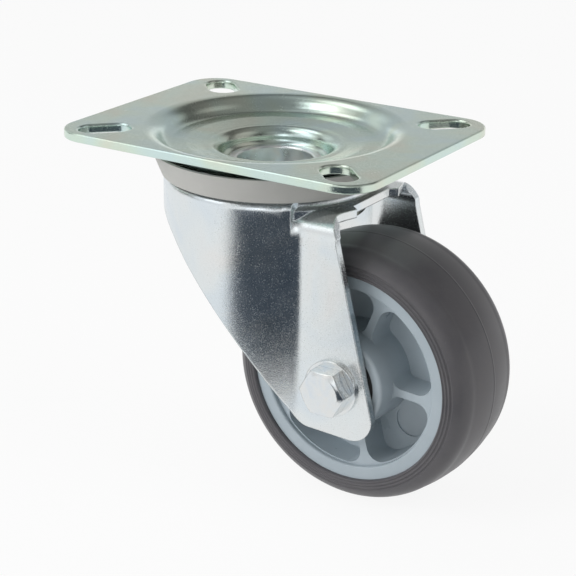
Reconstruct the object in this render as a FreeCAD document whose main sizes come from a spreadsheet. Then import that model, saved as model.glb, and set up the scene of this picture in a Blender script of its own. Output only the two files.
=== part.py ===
import FreeCAD, Part
import math
import os
import types
import Sketcher

# Swivel castor with a rectangular top plate and a wheel of soft rubber on a plastic rim.
# Millimetres. The origin is the middle of the plate's top face, on the swivel axis.
# +Z is up, and the wheel trails towards +X. The wheel's axle lies along Y.

# Every size below can be changed by itself: name, value, meaning.
SIZES = (
    ("plate_border", 1, "flat plate beside the bowl"),
    ("plate_extra", 25, "how much longer the plate is than wide"),
    ("plate_sheet", 2.6, "thickness of the plate's steel"),
    ("plate_corner", 10, "corner radius of the plate"),
    ("plate_edge", 0.5, "rounding of the plate's rim"),
    ("slot_inset_length", 12.5, "middle of a slot from the plate's short side"),
    ("slot_inset_width", 10, "middle of a slot from the plate's long side"),
    ("slot_width", 9, "slot width, for an M8 bolt"),
    ("slot_length", 15.5, "slot length over its round ends"),
    ("slot_angle", 45, "turn of each slot towards the plate's middle, degrees"),
    ("slot_edge", 0.7, "rounding of a slot's upper rim"),
    ("bowl_radius", 39, "where the pressed bowl leaves the flat plate"),
    ("bowl_wall", 8.5, "width of the bowl's sloping wall"),
    ("bowl_depth", 4.3, "depth of the bowl's floor"),
    ("bowl_bend", 3.7, "inner bend of the bowl's lip"),
    ("step_outer", 26.5, "outer edge of the sloping step in the floor"),
    ("step_inner", 21.5, "crease at the inner edge of the step"),
    ("step_drop", 0.75, "height of the sloping step"),
    ("neck_radius", 19.8, "where the neck leaves the floor"),
    ("neck_foot", 14.3, "where the neck's wall reaches the seat"),
    ("neck_bend", 0.7, "inner bend of the neck's lip"),
    ("seat_depth", 10.5, "depth of the seat of the king pin"),
    ("pin_radius", 12.6, "outside of the hollow king pin"),
    ("pin_bore", 11.2, "radius of the king pin's bore"),
    ("pin_flange", 14.1, "radius of the upper rolled flange"),
    ("pin_flange_thickness", 1.2, "thickness of the upper flange"),
    ("pin_lower_flange", 15.2, "radius of the lower rolled flange"),
    ("pin_lower_thickness", 1.5, "thickness of the lower flange"),
    ("pin_edge", 0.7, "rounding of the bore's mouth"),
    ("pin_gap", 0.03, "clearance round the king pin"),
    ("ball_size", 6.35, "ball of both swivel races"),
    ("upper_circle", 25.6, "radius of the upper ball circle"),
    ("lower_circle", 23.2, "radius of the lower ball circle"),
    ("race_depth", 0.35, "depth of each ball groove"),
    ("race_gap", 0.04, "running clearance of the balls"),
    ("race_sheet", 2.2, "thickness of the lower race"),
    ("race_shoulder", 17.2, "where the lower race turns down"),
    ("race_floor", 19.4, "where the lower race reaches its floor"),
    ("race_radius", 27.6, "outside of the lower race"),
    ("fork_sheet", 2.5, "thickness of the fork's steel"),
    ("fork_width", 48, "over the outer faces of the legs"),
    ("bell_radius", 33.2, "outside of the round front of the fork"),
    ("dome_top", 27.9, "where the crown's flat top ends at the back"),
    ("dome_foot", 32, "where the crown's slope reaches the shelf"),
    ("dome_bend", 2.9, "outer bend at the top of that slope"),
    ("crown_shoulder", 3, "rounding between crown and bell"),
    ("crown_hole", 19.2, "hole in the crown"),
    ("shelf_depth", 16, "top of the shelf between crown and legs"),
    ("shelf_bend", 7, "bend from the shelf into a leg"),
    ("fold_radius", 5, "hollow between bell and leg"),
    ("shelf_end", 33, "back edge of the shelf in its middle"),
    ("shelf_notch", 20, "width of the set back middle of the shelf"),
    ("shelf_ramp", 2, "slanted end of the set back middle"),
    ("shelf_horn", 35.4, "back edge at the two horns beside the middle"),
    ("relief_back", 33.1, "back edge at the relief before each bend"),
    ("relief_side", 19.5, "distance of that relief from the middle plane"),
    ("relief_foot", 21.8, "depth where the cut through a bend meets the leg's back edge"),
    ("leg_back", 35.8, "back edge of a leg at its top"),
    ("leg_knee", 23, "depth where the leg's back edge starts to slant"),
    ("heel_reach", 15.3, "leg behind the axle at its foot"),
    ("foot_reach", 15.5, "leg below the axle at the heel"),
    ("toe_reach", 11.1, "leg in front of the axle at its foot"),
    ("toe_drop", 14.2, "leg below the axle at the toe"),
    ("toe_radius", 6, "rounding of the toe"),
    ("heel_radius", 7, "rounding of the heel"),
    ("knee_radius", 12, "rounding of the knee"),
    ("front_depth", 21, "depth of the bell at its very front"),
    ("front_turn", 16, "how far in front of the axis the lower edge turns"),
    ("front_turn_depth", 29.7, "depth of the lower edge at that turn"),
    ("front_curve", 40, "curve of the lower edge before the turn"),
    ("leg_curve", 212, "curve of the lower edge down to the toe"),
    ("trail", 35.3, "axle behind the swivel axis"),
    ("tread_depth", 26.5, "top of the tread below the plate's top"),
    ("bolt_radius", 4, "axle bolt, M8"),
    ("bolt_gap", 0.15, "clearance of holes round the bolt"),
    ("bolt_tail", 2.2, "bolt end beyond the nut"),
    ("head_flats", 13, "across flats of head and nut"),
    ("head_height", 5.3, "height of the bolt's head"),
    ("head_crown", 5.6, "radius of the head's flat end"),
    ("nut_height", 6.2, "height of the nut's hexagon"),
    ("nut_collar", 5.6, "radius of the nut's collar"),
    ("nut_collar_height", 2.0, "height of the collar that holds the insert"),
    ("insert_height", 1.6, "height of the nylon insert"),
    ("insert_radius", 5.0, "outside of the nylon insert"),
    ("washer_radius", 8.4, "outside of a washer"),
    ("washer_thickness", 1.1, "thickness of a washer"),
    ("tube_radius", 6, "outside of the axle tube"),
    ("roller_radius", 1.5, "needle roller"),
    ("roller_count", 9, "rollers round the tube"),
    ("roller_length", 30, "length of a roller"),
    ("roller_gap", 0.04, "running clearance of the rollers"),
    ("cage_end", 2, "end ring of the roller cage"),
    ("cage_wall", 1.2, "radial thickness of the roller cage"),
    ("cage_gap", 0.1, "clearance of a roller in its pocket"),
    ("wheel_radius", 40, "outside of the tyre"),
    ("tyre_width", 34, "over the tyre's side walls"),
    ("tyre_shoulder", 6.8, "rounding of the tyre's shoulder"),
    ("tyre_crown", 1, "drop of the tread at the shoulder"),
    ("tyre_key", 18, "width of the tyre's key in the rim"),
    ("tyre_key_depth", 1.6, "depth of that key"),
    ("tyre_step", 0.5, "how far the side wall starts beyond the rim"),
    ("ring_groove", 0.45, "width of the fine grooves in a side wall"),
    ("ring_groove_pitch", 1, "distance from one fine groove to the next"),
    ("ring_groove_depth", 0.3, "depth of the fine grooves"),
    ("ring_groove_start", 0.75, "first fine groove outside the rim"),
    ("ring_groove_count", 3, "fine grooves on each side wall"),
    ("mould_gap", 0.02, "gap between tyre and rim"),
    ("tyre_depth", 8.4, "thickness of the tyre round the rim"),
    ("rim_width", 31.4, "over the rim's flat rings"),
    ("ring_width", 3.8, "width of the rim's flat ring"),
    ("rim_edge", 0.6, "rounding of the ring's inner edge"),
    ("rim_draft", 0.5, "how much the rim thickens towards its web"),
    ("web_thickness", 10, "web of the rim"),
    ("spoke_count", 5, "spokes on each side"),
    ("spoke_first", 68, "angle of the first spoke from the trailing side, degrees"),
    ("spoke_width", 2.4, "width of a spoke at its waist"),
    ("spoke_recess", 1.4, "spokes below the flat ring"),
    ("pocket_outer_round", 4.2, "outer corners of the pockets between spokes"),
    ("pocket_inner_round", 3, "inner corners of the pockets"),
    ("pocket_draft", 2.5, "lean of the pockets' walls, degrees"),
    ("hub_radius", 14.3, "outside of the hub"),
    ("hub_width", 41.4, "length of the hub"),
    ("hub_edge", 1.2, "rounding of the hub's ends"),
    ("hub_draft", 0.5, "how much the hub thickens towards the web"),
    ("cap_gap", 0.12, "end play of the roller cage against a bearing cap"),
    ("cap_thickness", 3, "thickness of a bearing cap"),
    ("hub_lip", 2.6, "wall round the end recess"),
    ("mark_radius", 5, "round mould mark in one pocket"),
    ("mark_inset", 6.7, "distance of the mark's middle from the flat ring"),
    ("mark_depth", 0.5, "depth of the mark"),
    ("seal_top_radius", 36.8, "dust seal at its upper rim"),
    ("seal_foot_radius", 33.8, "dust seal at its lower rim"),
    ("seal_top", 5.6, "depth of the seal's upper rim"),
    ("seal_foot", 13, "depth of the seal's lower rim"),
    ("seal_wall", 1.1, "wall of the seal"),
    ("seal_ledge", 28.9, "inside of the ledge that lies on the crown"),
    ("seal_ledge_height", 0.9, "height of that ledge"),
    ("margin", 20, "how far cutting forms reach past the part"),
)


class Size:
    """A number together with the sheet formula that gives it."""

    def __init__(self, value, formula):
        self.value = float(value)
        self.formula = formula

    def joined(self, sign, other, value):
        return Size(value, "(%s %s %s)" % (self.formula, sign, other.formula))

    def __add__(self, other):
        other = as_size(other)
        return self.joined("+", other, self.value + other.value)

    def __sub__(self, other):
        other = as_size(other)
        return self.joined("-", other, self.value - other.value)

    def __mul__(self, other):
        other = as_size(other)
        return self.joined("*", other, self.value * other.value)

    def __truediv__(self, other):
        other = as_size(other)
        return self.joined("/", other, self.value / other.value)

    def __radd__(self, other):
        return as_size(other) + self

    def __rtruediv__(self, other):
        return as_size(other) / self

    def __rsub__(self, other):
        return as_size(other) - self

    def __rmul__(self, other):
        return as_size(other) * self

    def __neg__(self):
        return as_size(0) - self


def as_size(item):
    if isinstance(item, Size):
        return item
    return Size(item, "(%r)" % float(item))


def root(size):
    return Size(math.sqrt(size.value), "sqrt(%s)" % size.formula)


def sine(degrees):
    degrees = as_size(degrees)
    return Size(math.sin(math.radians(degrees.value)), "sin(%s)" % degrees.formula)


def cosine(degrees):
    degrees = as_size(degrees)
    return Size(math.cos(math.radians(degrees.value)), "cos(%s)" % degrees.formula)


def make_sheet(doc):
    """Write the driving sizes to the sheet and return them by name."""
    sheet = doc.addObject("Spreadsheet::Sheet", "Sizes")
    sizes = {}
    for row, (alias, value, meaning) in enumerate(SIZES, start=1):
        sheet.set("A%d" % row, alias)
        sheet.set("B%d" % row, str(value))
        sheet.set("C%d" % row, meaning)
        sheet.setAlias("B%d" % row, alias)
        sizes[alias] = Size(value, "Sizes.%s" % alias)
    doc.recompute()
    return with_derived(types.SimpleNamespace(**sizes))


def with_derived(s):
    """Add the sizes that follow from others."""
    s.axle_depth = s.tread_depth + s.wheel_radius
    s.leg_heel = s.trail + s.heel_reach
    s.leg_foot = s.axle_depth + s.foot_reach
    s.leg_toe = s.trail - s.toe_reach
    s.leg_toe_depth = s.axle_depth + s.toe_drop
    s.rim_radius = s.wheel_radius - s.tyre_depth
    s.rim_inner = s.rim_radius - s.ring_width
    s.mark_circle = s.rim_inner - s.mark_inset
    s.plate_width = 2 * (s.bowl_radius + s.plate_border)
    s.plate_length = s.plate_width + s.plate_extra
    s.slot_pitch_length = s.plate_length - 2 * s.slot_inset_length
    s.slot_pitch_width = s.plate_width - 2 * s.slot_inset_width
    s.bowl_foot = s.bowl_radius - s.bowl_wall
    return s


def bind(target, name, size):
    """Tie one property to the sheet, and give it its value at once."""
    size = as_size(size)
    if "." not in name:
        setattr(target, name, size.value)
    target.setExpression(name, size.formula)


def new_body(doc, label):
    body = doc.addObject("PartDesign::Body", label)
    body.Label = label
    return body


def origin_item(body, role):
    for item in body.Origin.OriginFeatures:
        if item.Role == role:
            return item
    raise ValueError(role)


def new_sketch(body, name, plane="XY_Plane", height=None):
    """A sketch on one of the body's own planes, lifted off it by height."""
    sketch = body.newObject("Sketcher::SketchObject", name)
    sketch.AttachmentSupport = [(origin_item(body, plane), "")]
    sketch.MapMode = "FlatFace"
    if height is not None:
        sketch.AttachmentOffset.Base.z = height.value
        sketch.setExpression("AttachmentOffset.Base.z", height.formula)
    return sketch


def pin_point(sketch, geometry, end, x, y):
    """Fix one end of a line or arc at x, y, measured from the sketch's origin."""
    for kind, size in (("DistanceX", x), ("DistanceY", y)):
        index = sketch.addConstraint(Sketcher.Constraint(kind, -1, 1, geometry, end, size.value))
        sketch.setExpression("Constraints[%d]" % index, size.formula)


def arc_middle(start, end, radius, turn):
    """Middle point of the short arc from start to end that turns left or right."""
    chord = end.sub(start)
    half = chord.Length / 2
    rise = radius - math.sqrt(max(radius * radius - half * half, 0.0))
    side = FreeCAD.Vector(chord.y, -chord.x, 0).normalize()
    if turn == "right":
        side = side.negative()
    return start.add(end).multiply(0.5).add(side.multiply(rise))


def draw(sketch, path):
    """Closed outline. A step is (x, y) for a line, or (x, y, radius, turn) for an arc to x, y."""
    path = [tuple(as_size(v) if not isinstance(v, str) else v for v in step) for step in path]
    points = [FreeCAD.Vector(step[0].value, step[1].value, 0) for step in path]
    first = sketch.GeometryCount
    ends = []
    for i, step in enumerate(path):
        start, end = points[i - 1], points[i]
        if len(step) == 2:
            sketch.addGeometry(Part.LineSegment(start, end), False)
            ends.append((1, 2))
        else:
            middle = arc_middle(start, end, step[2].value, step[3])
            sketch.addGeometry(Part.Arc(start, middle, end), False)
            ends.append((1, 2) if step[3] == "left" else (2, 1))
    for i, step in enumerate(path):
        following = (i + 1) % len(path)
        here, after = first + i, first + following
        joined = Sketcher.Constraint("Coincident", here, ends[i][1], after, ends[following][0])
        sketch.addConstraint(joined)
        pin_point(sketch, here, ends[i][1], step[0], step[1])
        if len(step) == 4:
            index = sketch.addConstraint(Sketcher.Constraint("Radius", here, step[2].value))
            sketch.setExpression("Constraints[%d]" % index, step[2].formula)


def draw_circle(sketch, radius, x=0, y=0):
    x, y, radius = as_size(x), as_size(y), as_size(radius)
    centre = FreeCAD.Vector(x.value, y.value, 0)
    circle = sketch.addGeometry(Part.Circle(centre, FreeCAD.Vector(0, 0, 1), radius.value), False)
    pin_point(sketch, circle, 3, x, y)
    index = sketch.addConstraint(Sketcher.Constraint("Radius", circle, radius.value))
    sketch.setExpression("Constraints[%d]" % index, radius.formula)


def rectangle(left, bottom, right, top):
    return [(left, bottom), (right, bottom), (right, top), (left, top)]


def feature(body, kind, name, sketch):
    item = body.newObject("PartDesign::" + kind, name)
    item.Profile = sketch
    sketch.Visibility = False
    return item


def pad(body, name, sketch, length, down=False, both=False):
    item = feature(body, "Pad", name, sketch)
    bind(item, "Length", length)
    item.Reversed = down
    item.Midplane = both
    return item


def pocket(body, name, sketch, length, up=False, both=False, draft=None):
    item = feature(body, "Pocket", name, sketch)
    bind(item, "Length", length)
    item.Reversed = up
    item.Midplane = both
    if draft is not None:
        bind(item, "TaperAngle", draft)
    return item


def revolve(body, name, sketch, cut=False):
    """Turn a half section once round the body's Z axis."""
    item = feature(body, "Groove" if cut else "Revolution", name, sketch)
    item.ReferenceAxis = (sketch, ["V_Axis"])
    item.Angle = 360
    return item


def round_edges(body, name, radius, wanted):
    """Round the edges of the body's last feature that the test picks out."""
    doc = body.Document
    doc.recompute()
    base = body.Tip
    names = ["Edge%d" % (i + 1) for i, edge in enumerate(base.Shape.Edges) if wanted(edge)]
    if not names:
        raise RuntimeError("no edge to round for " + name)
    item = body.newObject("PartDesign::Fillet", name)
    item.Base = (base, names)
    bind(item, "Radius", radius)
    return item


def ring_edge(radius, height):
    """Test for a circular edge about the body's Z axis."""
    def test(edge):
        if not isinstance(edge.Curve, Part.Circle):
            return False
        centre = edge.Curve.Center
        on_axis = math.hypot(centre.x, centre.y) < 1e-4
        same_size = abs(edge.Curve.Radius - radius.value) < 1e-3
        return on_axis and same_size and abs(centre.z - height.value) < 1e-3
    return test


def set_wheel_place(item, s):
    """Lay an item that was drawn round Z on the axle: its +Z becomes -Y."""
    item.Placement = FreeCAD.Placement(FreeCAD.Vector(), FreeCAD.Rotation(FreeCAD.Vector(1, 0, 0), 90))
    item.setExpression("Placement.Base.x", s.trail.formula)
    item.setExpression("Placement.Base.z", (-s.axle_depth).formula)


def levels(s):
    """Heights of the swivel bearing, worked out from the plate downwards."""
    ball = s.ball_size / 2
    below = types.SimpleNamespace()
    below.floor = -s.bowl_depth
    below.seat = -s.seat_depth
    below.neck_end = below.seat - s.plate_sheet
    below.upper_balls = below.floor - s.plate_sheet + s.race_depth - s.race_gap - ball
    below.crown = below.upper_balls - ball - s.race_gap + s.race_depth
    below.lower_balls = below.crown - s.fork_sheet + s.race_depth - s.race_gap - ball
    below.race = below.lower_balls - ball - s.race_gap + s.race_depth
    below.shelf = -s.shelf_depth
    return below


def press_wall(outer, inner, upper, lower, bend, sheet):
    """Section points of a pressed wall: its lip bend, its foot bend and where they meet."""
    width = outer - inner
    drop = upper - lower
    both = (width * width + drop * drop) / (2 * drop)
    lip = bend + sheet
    foot = both - lip
    lean_x = width / both
    lean_z = (both - drop) / both
    top = (outer - lip * lean_x, upper - lip * (1 - lean_z))
    bottom = (top[0] + sheet * lean_x, top[1] - sheet * lean_z)
    return types.SimpleNamespace(lip=lip, foot=foot, top=top, bottom=bottom, bend=bend)


def make_top_plate(doc, s, z):
    body = new_body(doc, "top_plate")
    corner = s.plate_corner
    x, y = s.plate_length / 2, s.plate_width / 2
    blank = new_sketch(body, "PlateBlank")
    draw(blank, [
        (x - corner, -y), (x, corner - y, corner, "left"),
        (x, y - corner), (x - corner, y, corner, "left"),
        (corner - x, y), (-x, y - corner, corner, "left"),
        (-x, corner - y), (corner - x, -y, corner, "left"),
    ])
    draw_circle(blank, s.bowl_radius)
    pad(body, "PlateSheet", blank, s.plate_sheet, down=True)
    for side, height in (("Top", as_size(0)), ("Bottom", -s.plate_sheet)):
        round_edges(body, "PlateRim" + side, s.plate_edge, rim_edge(x, y, height))
    draw_bowl(body, s, z)
    cut_slots(body, s)
    groove = new_sketch(body, "UpperRacePlan", "XZ_Plane")
    draw_circle(groove, s.ball_size / 2 + s.race_gap, s.upper_circle, z.upper_balls)
    revolve(body, "UpperRace", groove, cut=True)
    return body


def rim_edge(x, y, height):
    """Test for the plate's outline at one height."""
    def test(edge):
        box = edge.BoundBox
        level = abs(box.ZMin - height.value) < 1e-4 and abs(box.ZMax - height.value) < 1e-4
        middle = edge.CenterOfMass
        return level and max(abs(middle.x) / x.value, abs(middle.y) / y.value) > 0.9
    return test


def draw_bowl(body, s, z):
    """The pressed middle of the plate: a wide bowl, a sloping step and the neck to the seat."""
    sheet = s.plate_sheet
    step = z.floor - s.step_drop
    wide = press_wall(s.bowl_radius, s.bowl_foot, as_size(0), z.floor, s.bowl_bend, sheet)
    neck = press_wall(s.neck_radius, s.neck_foot, step, z.seat, s.neck_bend, sheet)
    hole = s.pin_radius + s.pin_gap
    section = new_sketch(body, "BowlSection", "XZ_Plane")
    draw(section, [
        (s.bowl_radius, 0),
        (*wide.top, wide.lip, "left"),
        (s.bowl_foot, z.floor, wide.foot, "right"),
        (s.step_outer, z.floor),
        (s.step_inner, step),
        (s.neck_radius, step),
        (*neck.top, neck.lip, "left"),
        (s.neck_foot, z.seat, neck.foot, "right"),
        (hole, z.seat),
        (hole, z.seat - sheet),
        (s.neck_foot, z.seat - sheet),
        (*neck.bottom, neck.foot + sheet, "left"),
        (s.neck_radius, step - sheet, neck.bend, "right"),
        (s.step_inner, step - sheet),
        (s.step_outer, z.floor - sheet),
        (s.bowl_foot, z.floor - sheet),
        (*wide.bottom, wide.foot + sheet, "left"),
        (s.bowl_radius, -sheet, wide.bend, "right"),
    ])
    revolve(body, "Bowl", section)


def cut_slots(body, s):
    """Four slots that point towards the middle of the plate, with a rounded upper rim."""
    half = (s.slot_length - s.slot_width) / 2
    reach = s.slot_width / 2
    plan = new_sketch(body, "SlotPlan")
    for side_x, side_y in ((1, 1), (-1, 1), (-1, -1), (1, -1)):
        along = (cosine(s.slot_angle) * side_x, sine(s.slot_angle) * side_y)
        across = (-along[1] * reach, along[0] * reach)
        middle = (s.slot_pitch_length / 2 * side_x, s.slot_pitch_width / 2 * side_y)
        far = (middle[0] + along[0] * half, middle[1] + along[1] * half)
        near = (middle[0] - along[0] * half, middle[1] - along[1] * half)
        tip = (far[0] + along[0] * reach, far[1] + along[1] * reach)
        tail = (near[0] - along[0] * reach, near[1] - along[1] * reach)
        draw(plan, [
            (far[0] - across[0], far[1] - across[1]),
            (*tip, reach, "left"),
            (far[0] + across[0], far[1] + across[1], reach, "left"),
            (near[0] + across[0], near[1] + across[1]),
            (*tail, reach, "left"),
            (near[0] - across[0], near[1] - across[1], reach, "left"),
        ])
    pocket(body, "Slots", plan, s.plate_sheet)
    reach_out = s.bowl_radius.value
    corner = (s.plate_length.value / 2 - s.plate_corner.value, s.plate_width.value / 2)

    def slot_rim(edge):
        box = edge.BoundBox
        middle = box.Center
        level = abs(box.ZMin) < 1e-4 and abs(box.ZMax) < 1e-4
        inside = abs(middle.x) < corner[0] + 4 and abs(middle.y) < corner[1] - 1
        return level and inside and math.hypot(middle.x, middle.y) > reach_out

    round_edges(body, "SlotRim", s.slot_edge, slot_rim)


def make_king_pin(doc, s, z):
    """Hollow rivet: a tube with a rolled flange at each end."""
    body = new_body(doc, "king_pin")
    top = z.seat + s.pin_flange_thickness
    clamp = z.neck_end - s.race_sheet
    foot = clamp - s.pin_lower_thickness
    section = new_sketch(body, "PinSection", "XZ_Plane")
    draw(section, [
        (s.pin_bore, top), (s.pin_bore, foot),
        (s.pin_lower_flange, foot), (s.pin_lower_flange, clamp),
        (s.pin_radius, clamp), (s.pin_radius, z.seat),
        (s.pin_flange, z.seat), (s.pin_flange, top),
    ])
    revolve(body, "PinTube", section)
    round_edges(body, "PinMouth", s.pin_edge, ring_edge(s.pin_bore, top))
    round_edges(body, "PinFlangeRim", s.pin_edge, ring_edge(s.pin_flange, top))
    round_edges(body, "PinLowerRim", s.pin_edge, ring_edge(s.pin_lower_flange, foot))
    return body


def make_lower_race(doc, s, z):
    """Pressed cup under the crown that carries the lower ring of balls."""
    body = new_body(doc, "lower_race")
    hole = s.pin_radius + s.pin_gap
    sheet = s.race_sheet
    section = new_sketch(body, "RaceSection", "XZ_Plane")
    draw(section, [
        (hole, z.neck_end), (hole, z.neck_end - sheet),
        (s.race_shoulder - sheet / 2, z.neck_end - sheet),
        (s.race_floor - sheet / 2, z.race - sheet),
        (s.race_radius, z.race - sheet), (s.race_radius, z.race),
        (s.race_floor, z.race), (s.race_shoulder, z.neck_end),
    ])
    revolve(body, "RaceCup", section)
    plan = new_sketch(body, "LowerRacePlan", "XZ_Plane")
    draw_circle(plan, s.ball_size / 2 + s.race_gap, s.lower_circle, z.lower_balls)
    revolve(body, "LowerRaceGroove", plan, cut=True)
    return body


def make_balls(doc, s, label, circle, height):
    """A full ring of loose balls, as many as the circle takes."""
    count = int(math.pi / math.asin((s.ball_size.value / 2 + s.race_gap.value) / circle.value))
    radius = s.ball_size.value / 2
    balls = []
    for i in range(count):
        angle = 2 * math.pi * i / count
        x = circle.value * math.cos(angle)
        y = circle.value * math.sin(angle)
        balls.append(Part.makeSphere(radius, FreeCAD.Vector(x, y, height.value)))
    item = doc.addObject("Part::Feature", label)
    item.Label = label
    item.Shape = Part.makeCompound(balls)
    return item


def fork_plan(s, inset):
    """Plan of the bell and both legs, and where the bell gives way to the legs."""
    bell = s.bell_radius - inset
    half = s.fork_width / 2 - inset
    fold = s.fold_radius + inset
    centre_y = half + fold
    centre_x = root((bell + fold) * (bell + fold) - centre_y * centre_y)
    share = bell / (bell + fold)
    edge = (centre_x * share, centre_y * share)
    return types.SimpleNamespace(bell=bell, half=half, fold=fold, centre_x=centre_x, edge=edge)


def make_fork_form(doc, s, z, name, inset):
    """The fork as a filled form: its outside for no inset, its inside for one sheet of inset."""
    plan = fork_plan(s, inset)
    bottom = -s.leg_foot - s.margin
    top = z.crown - inset
    shelf = z.shelf - inset
    shoulder = s.crown_shoulder - inset / 2

    legs = new_body(doc, name + "_legs")
    sketch = new_sketch(legs, name + "LegPlan", height=shelf)
    reach = s.leg_heel + s.margin
    draw(sketch, [
        (reach, -plan.half), (reach, plan.half),
        (plan.centre_x, plan.half),
        (plan.edge[0], plan.edge[1], plan.fold, "right"),
        (-plan.bell, 0, plan.bell, "left"),
        (plan.edge[0], -plan.edge[1], plan.bell, "left"),
        (plan.centre_x, -plan.half, plan.fold, "right"),
    ])
    pad(legs, name + "Legs", sketch, shelf - bottom, down=True)

    def bend_edge(edge):
        box = edge.BoundBox
        level = abs(box.ZMin - shelf.value) < 1e-4 and abs(box.ZMax - shelf.value) < 1e-4
        return level and box.XMin < reach.value - 1e-3

    round_edges(legs, name + "Bend", s.shelf_bend - inset, bend_edge)

    crown = new_body(doc, name + "_crown")
    front = new_sketch(crown, name + "BellSection", "XZ_Plane")
    draw(front, round_topped(plan.bell, top, bottom, shoulder))
    revolve(crown, name + "Bell", front)
    back = new_sketch(crown, name + "BellBack")
    draw(back, rectangle(plan.edge[0], -reach, reach, reach))
    pocket(crown, name + "BellBackCut", back, 2 * (s.leg_foot + s.margin), both=True)
    dome = new_sketch(crown, name + "DomeSection", "XZ_Plane")
    draw(dome, dome_section(s, z, inset))
    revolve(crown, name + "Dome", dome)

    form = doc.addObject("Part::MultiFuse", name + "_form")
    form.Shapes = [legs, crown]
    return form


def round_topped(radius, top, bottom, shoulder):
    """Half section of a drum with a rounded shoulder."""
    return [
        (0, bottom), (radius, bottom), (radius, top - shoulder),
        (radius - shoulder, top, shoulder, "left"), (0, top),
    ]


def dome_section(s, z, inset):
    """Half section of the crown at the back, which slopes down to the shelf in two bends."""
    width = s.dome_foot - s.dome_top
    drop = z.crown - z.shelf
    both = (width * width + drop * drop) / (2 * drop)
    hollow = both - s.dome_bend
    share = (hollow + inset) / both
    meet_x = s.dome_foot - width * share
    meet_z = z.shelf + hollow - (both - drop) * share
    wall = s.dome_foot - inset
    wall_z = z.shelf + hollow - root((hollow + inset) * (hollow + inset) - inset * inset)
    bottom = z.shelf - s.shelf_bend
    return [
        (0, bottom), (wall, bottom), (wall, wall_z),
        (meet_x, meet_z, hollow + inset, "right"),
        (s.dome_top, z.crown - inset, s.dome_bend - inset, "left"), (0, z.crown - inset),
    ]


def make_fork_mask(doc, s, z):
    """What the sheared outline, the holes and the ball grooves leave of the fork's sheet."""
    body = new_body(doc, "fork_mask")
    reach = s.fork_width + s.margin
    front = -s.bell_radius - s.margin
    side = new_sketch(body, "ForkSide", "XZ_Plane")
    draw(side, [
        (front, 0), (front, -s.front_depth), (-s.bell_radius, -s.front_depth),
        (-s.front_turn, -s.front_turn_depth, s.front_curve, "right"),
        (s.leg_toe, -s.leg_toe_depth, s.leg_curve, "right"),
        (s.leg_heel, -s.leg_foot), (s.leg_back, -s.leg_knee), (s.leg_back, 0),
    ])
    pad(body, "ForkSideForm", side, 2 * reach, both=True)
    corners = (
        ("Toe", s.toe_radius, s.leg_toe, s.leg_toe_depth),
        ("Heel", s.heel_radius, s.leg_heel, s.leg_foot),
        ("Knee", s.knee_radius, s.leg_back, s.leg_knee),
    )
    for name, radius, x, depth in corners:
        round_edges(body, name, radius, cross_edge(x, -depth))
    notch = new_sketch(body, "ShelfNotch")
    draw(notch, notch_outline(s))
    pocket(body, "ShelfNotchCut", notch, s.leg_knee)
    cut_reliefs(body, s, z)
    hole = new_sketch(body, "CrownHole")
    draw_circle(hole, s.crown_hole)
    pocket(body, "CrownHoleCut", hole, s.leg_knee)
    axle = new_sketch(body, "AxleHole", "XZ_Plane")
    draw_circle(axle, s.bolt_radius + s.bolt_gap, s.trail, -s.axle_depth)
    pocket(body, "AxleHoleCut", axle, 2 * reach, both=True)
    rings = (("Upper", s.upper_circle, z.upper_balls), ("Lower", s.lower_circle, z.lower_balls))
    for name, circle, height in rings:
        groove = new_sketch(body, name + "CrownGroovePlan", "XZ_Plane")
        draw_circle(groove, s.ball_size / 2 + s.race_gap, circle, height)
        revolve(body, name + "CrownGroove", groove, cut=True)
    return body


def notch_outline(s):
    """Plan of the sheared back edge between the bends: a set back middle and two horns."""
    half = s.shelf_notch / 2
    horn = half + s.shelf_ramp
    far = s.leg_back + s.margin
    side = [(s.shelf_end, half), (s.shelf_horn, horn), (s.relief_back, s.relief_side), (far, s.relief_side)]
    return [(x, -y) for x, y in side] + side[::-1]


def cut_reliefs(body, s, z):
    """Sheared back edge of each bend, from the notch down to the leg."""
    across = s.relief_side - s.fork_width / 2 + s.shelf_bend
    start = z.shelf - s.shelf_bend + root(s.shelf_bend * s.shelf_bend - across * across)
    far = s.leg_back + s.margin
    for name, side in (("Near", 1), ("Far", -1)):
        relief = new_sketch(body, name + "Relief", "XZ_Plane", height=s.relief_side * side)
        draw(relief, [
            (s.relief_back, 0), (s.relief_back, start), (s.leg_back, -s.relief_foot),
            (far, -s.relief_foot), (far, 0),
        ])
        pocket(body, name + "ReliefCut", relief, s.shelf_bend, up=side > 0)


def cross_edge(x, z):
    """Test for an edge along Y that passes x, z."""
    def test(edge):
        box = edge.BoundBox
        across = box.YLength > 1 and box.XLength < 1e-3 and box.ZLength < 1e-3
        return across and abs(box.XMin - x.value) < 1e-3 and abs(box.ZMin - z.value) < 1e-3
    return test


def make_fork(doc, s, z):
    """One pressed sheet: the outside less the inside, cut to its sheared outline."""
    outside = make_fork_form(doc, s, z, "outside", as_size(0))
    inside = make_fork_form(doc, s, z, "inside", s.fork_sheet)
    mask = make_fork_mask(doc, s, z)
    shell = doc.addObject("Part::Cut", "fork_shell")
    shell.Base = outside
    shell.Tool = inside
    fork = doc.addObject("Part::MultiCommon", "fork")
    fork.Label = "fork"
    fork.Shapes = [shell, mask]
    return fork


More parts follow.
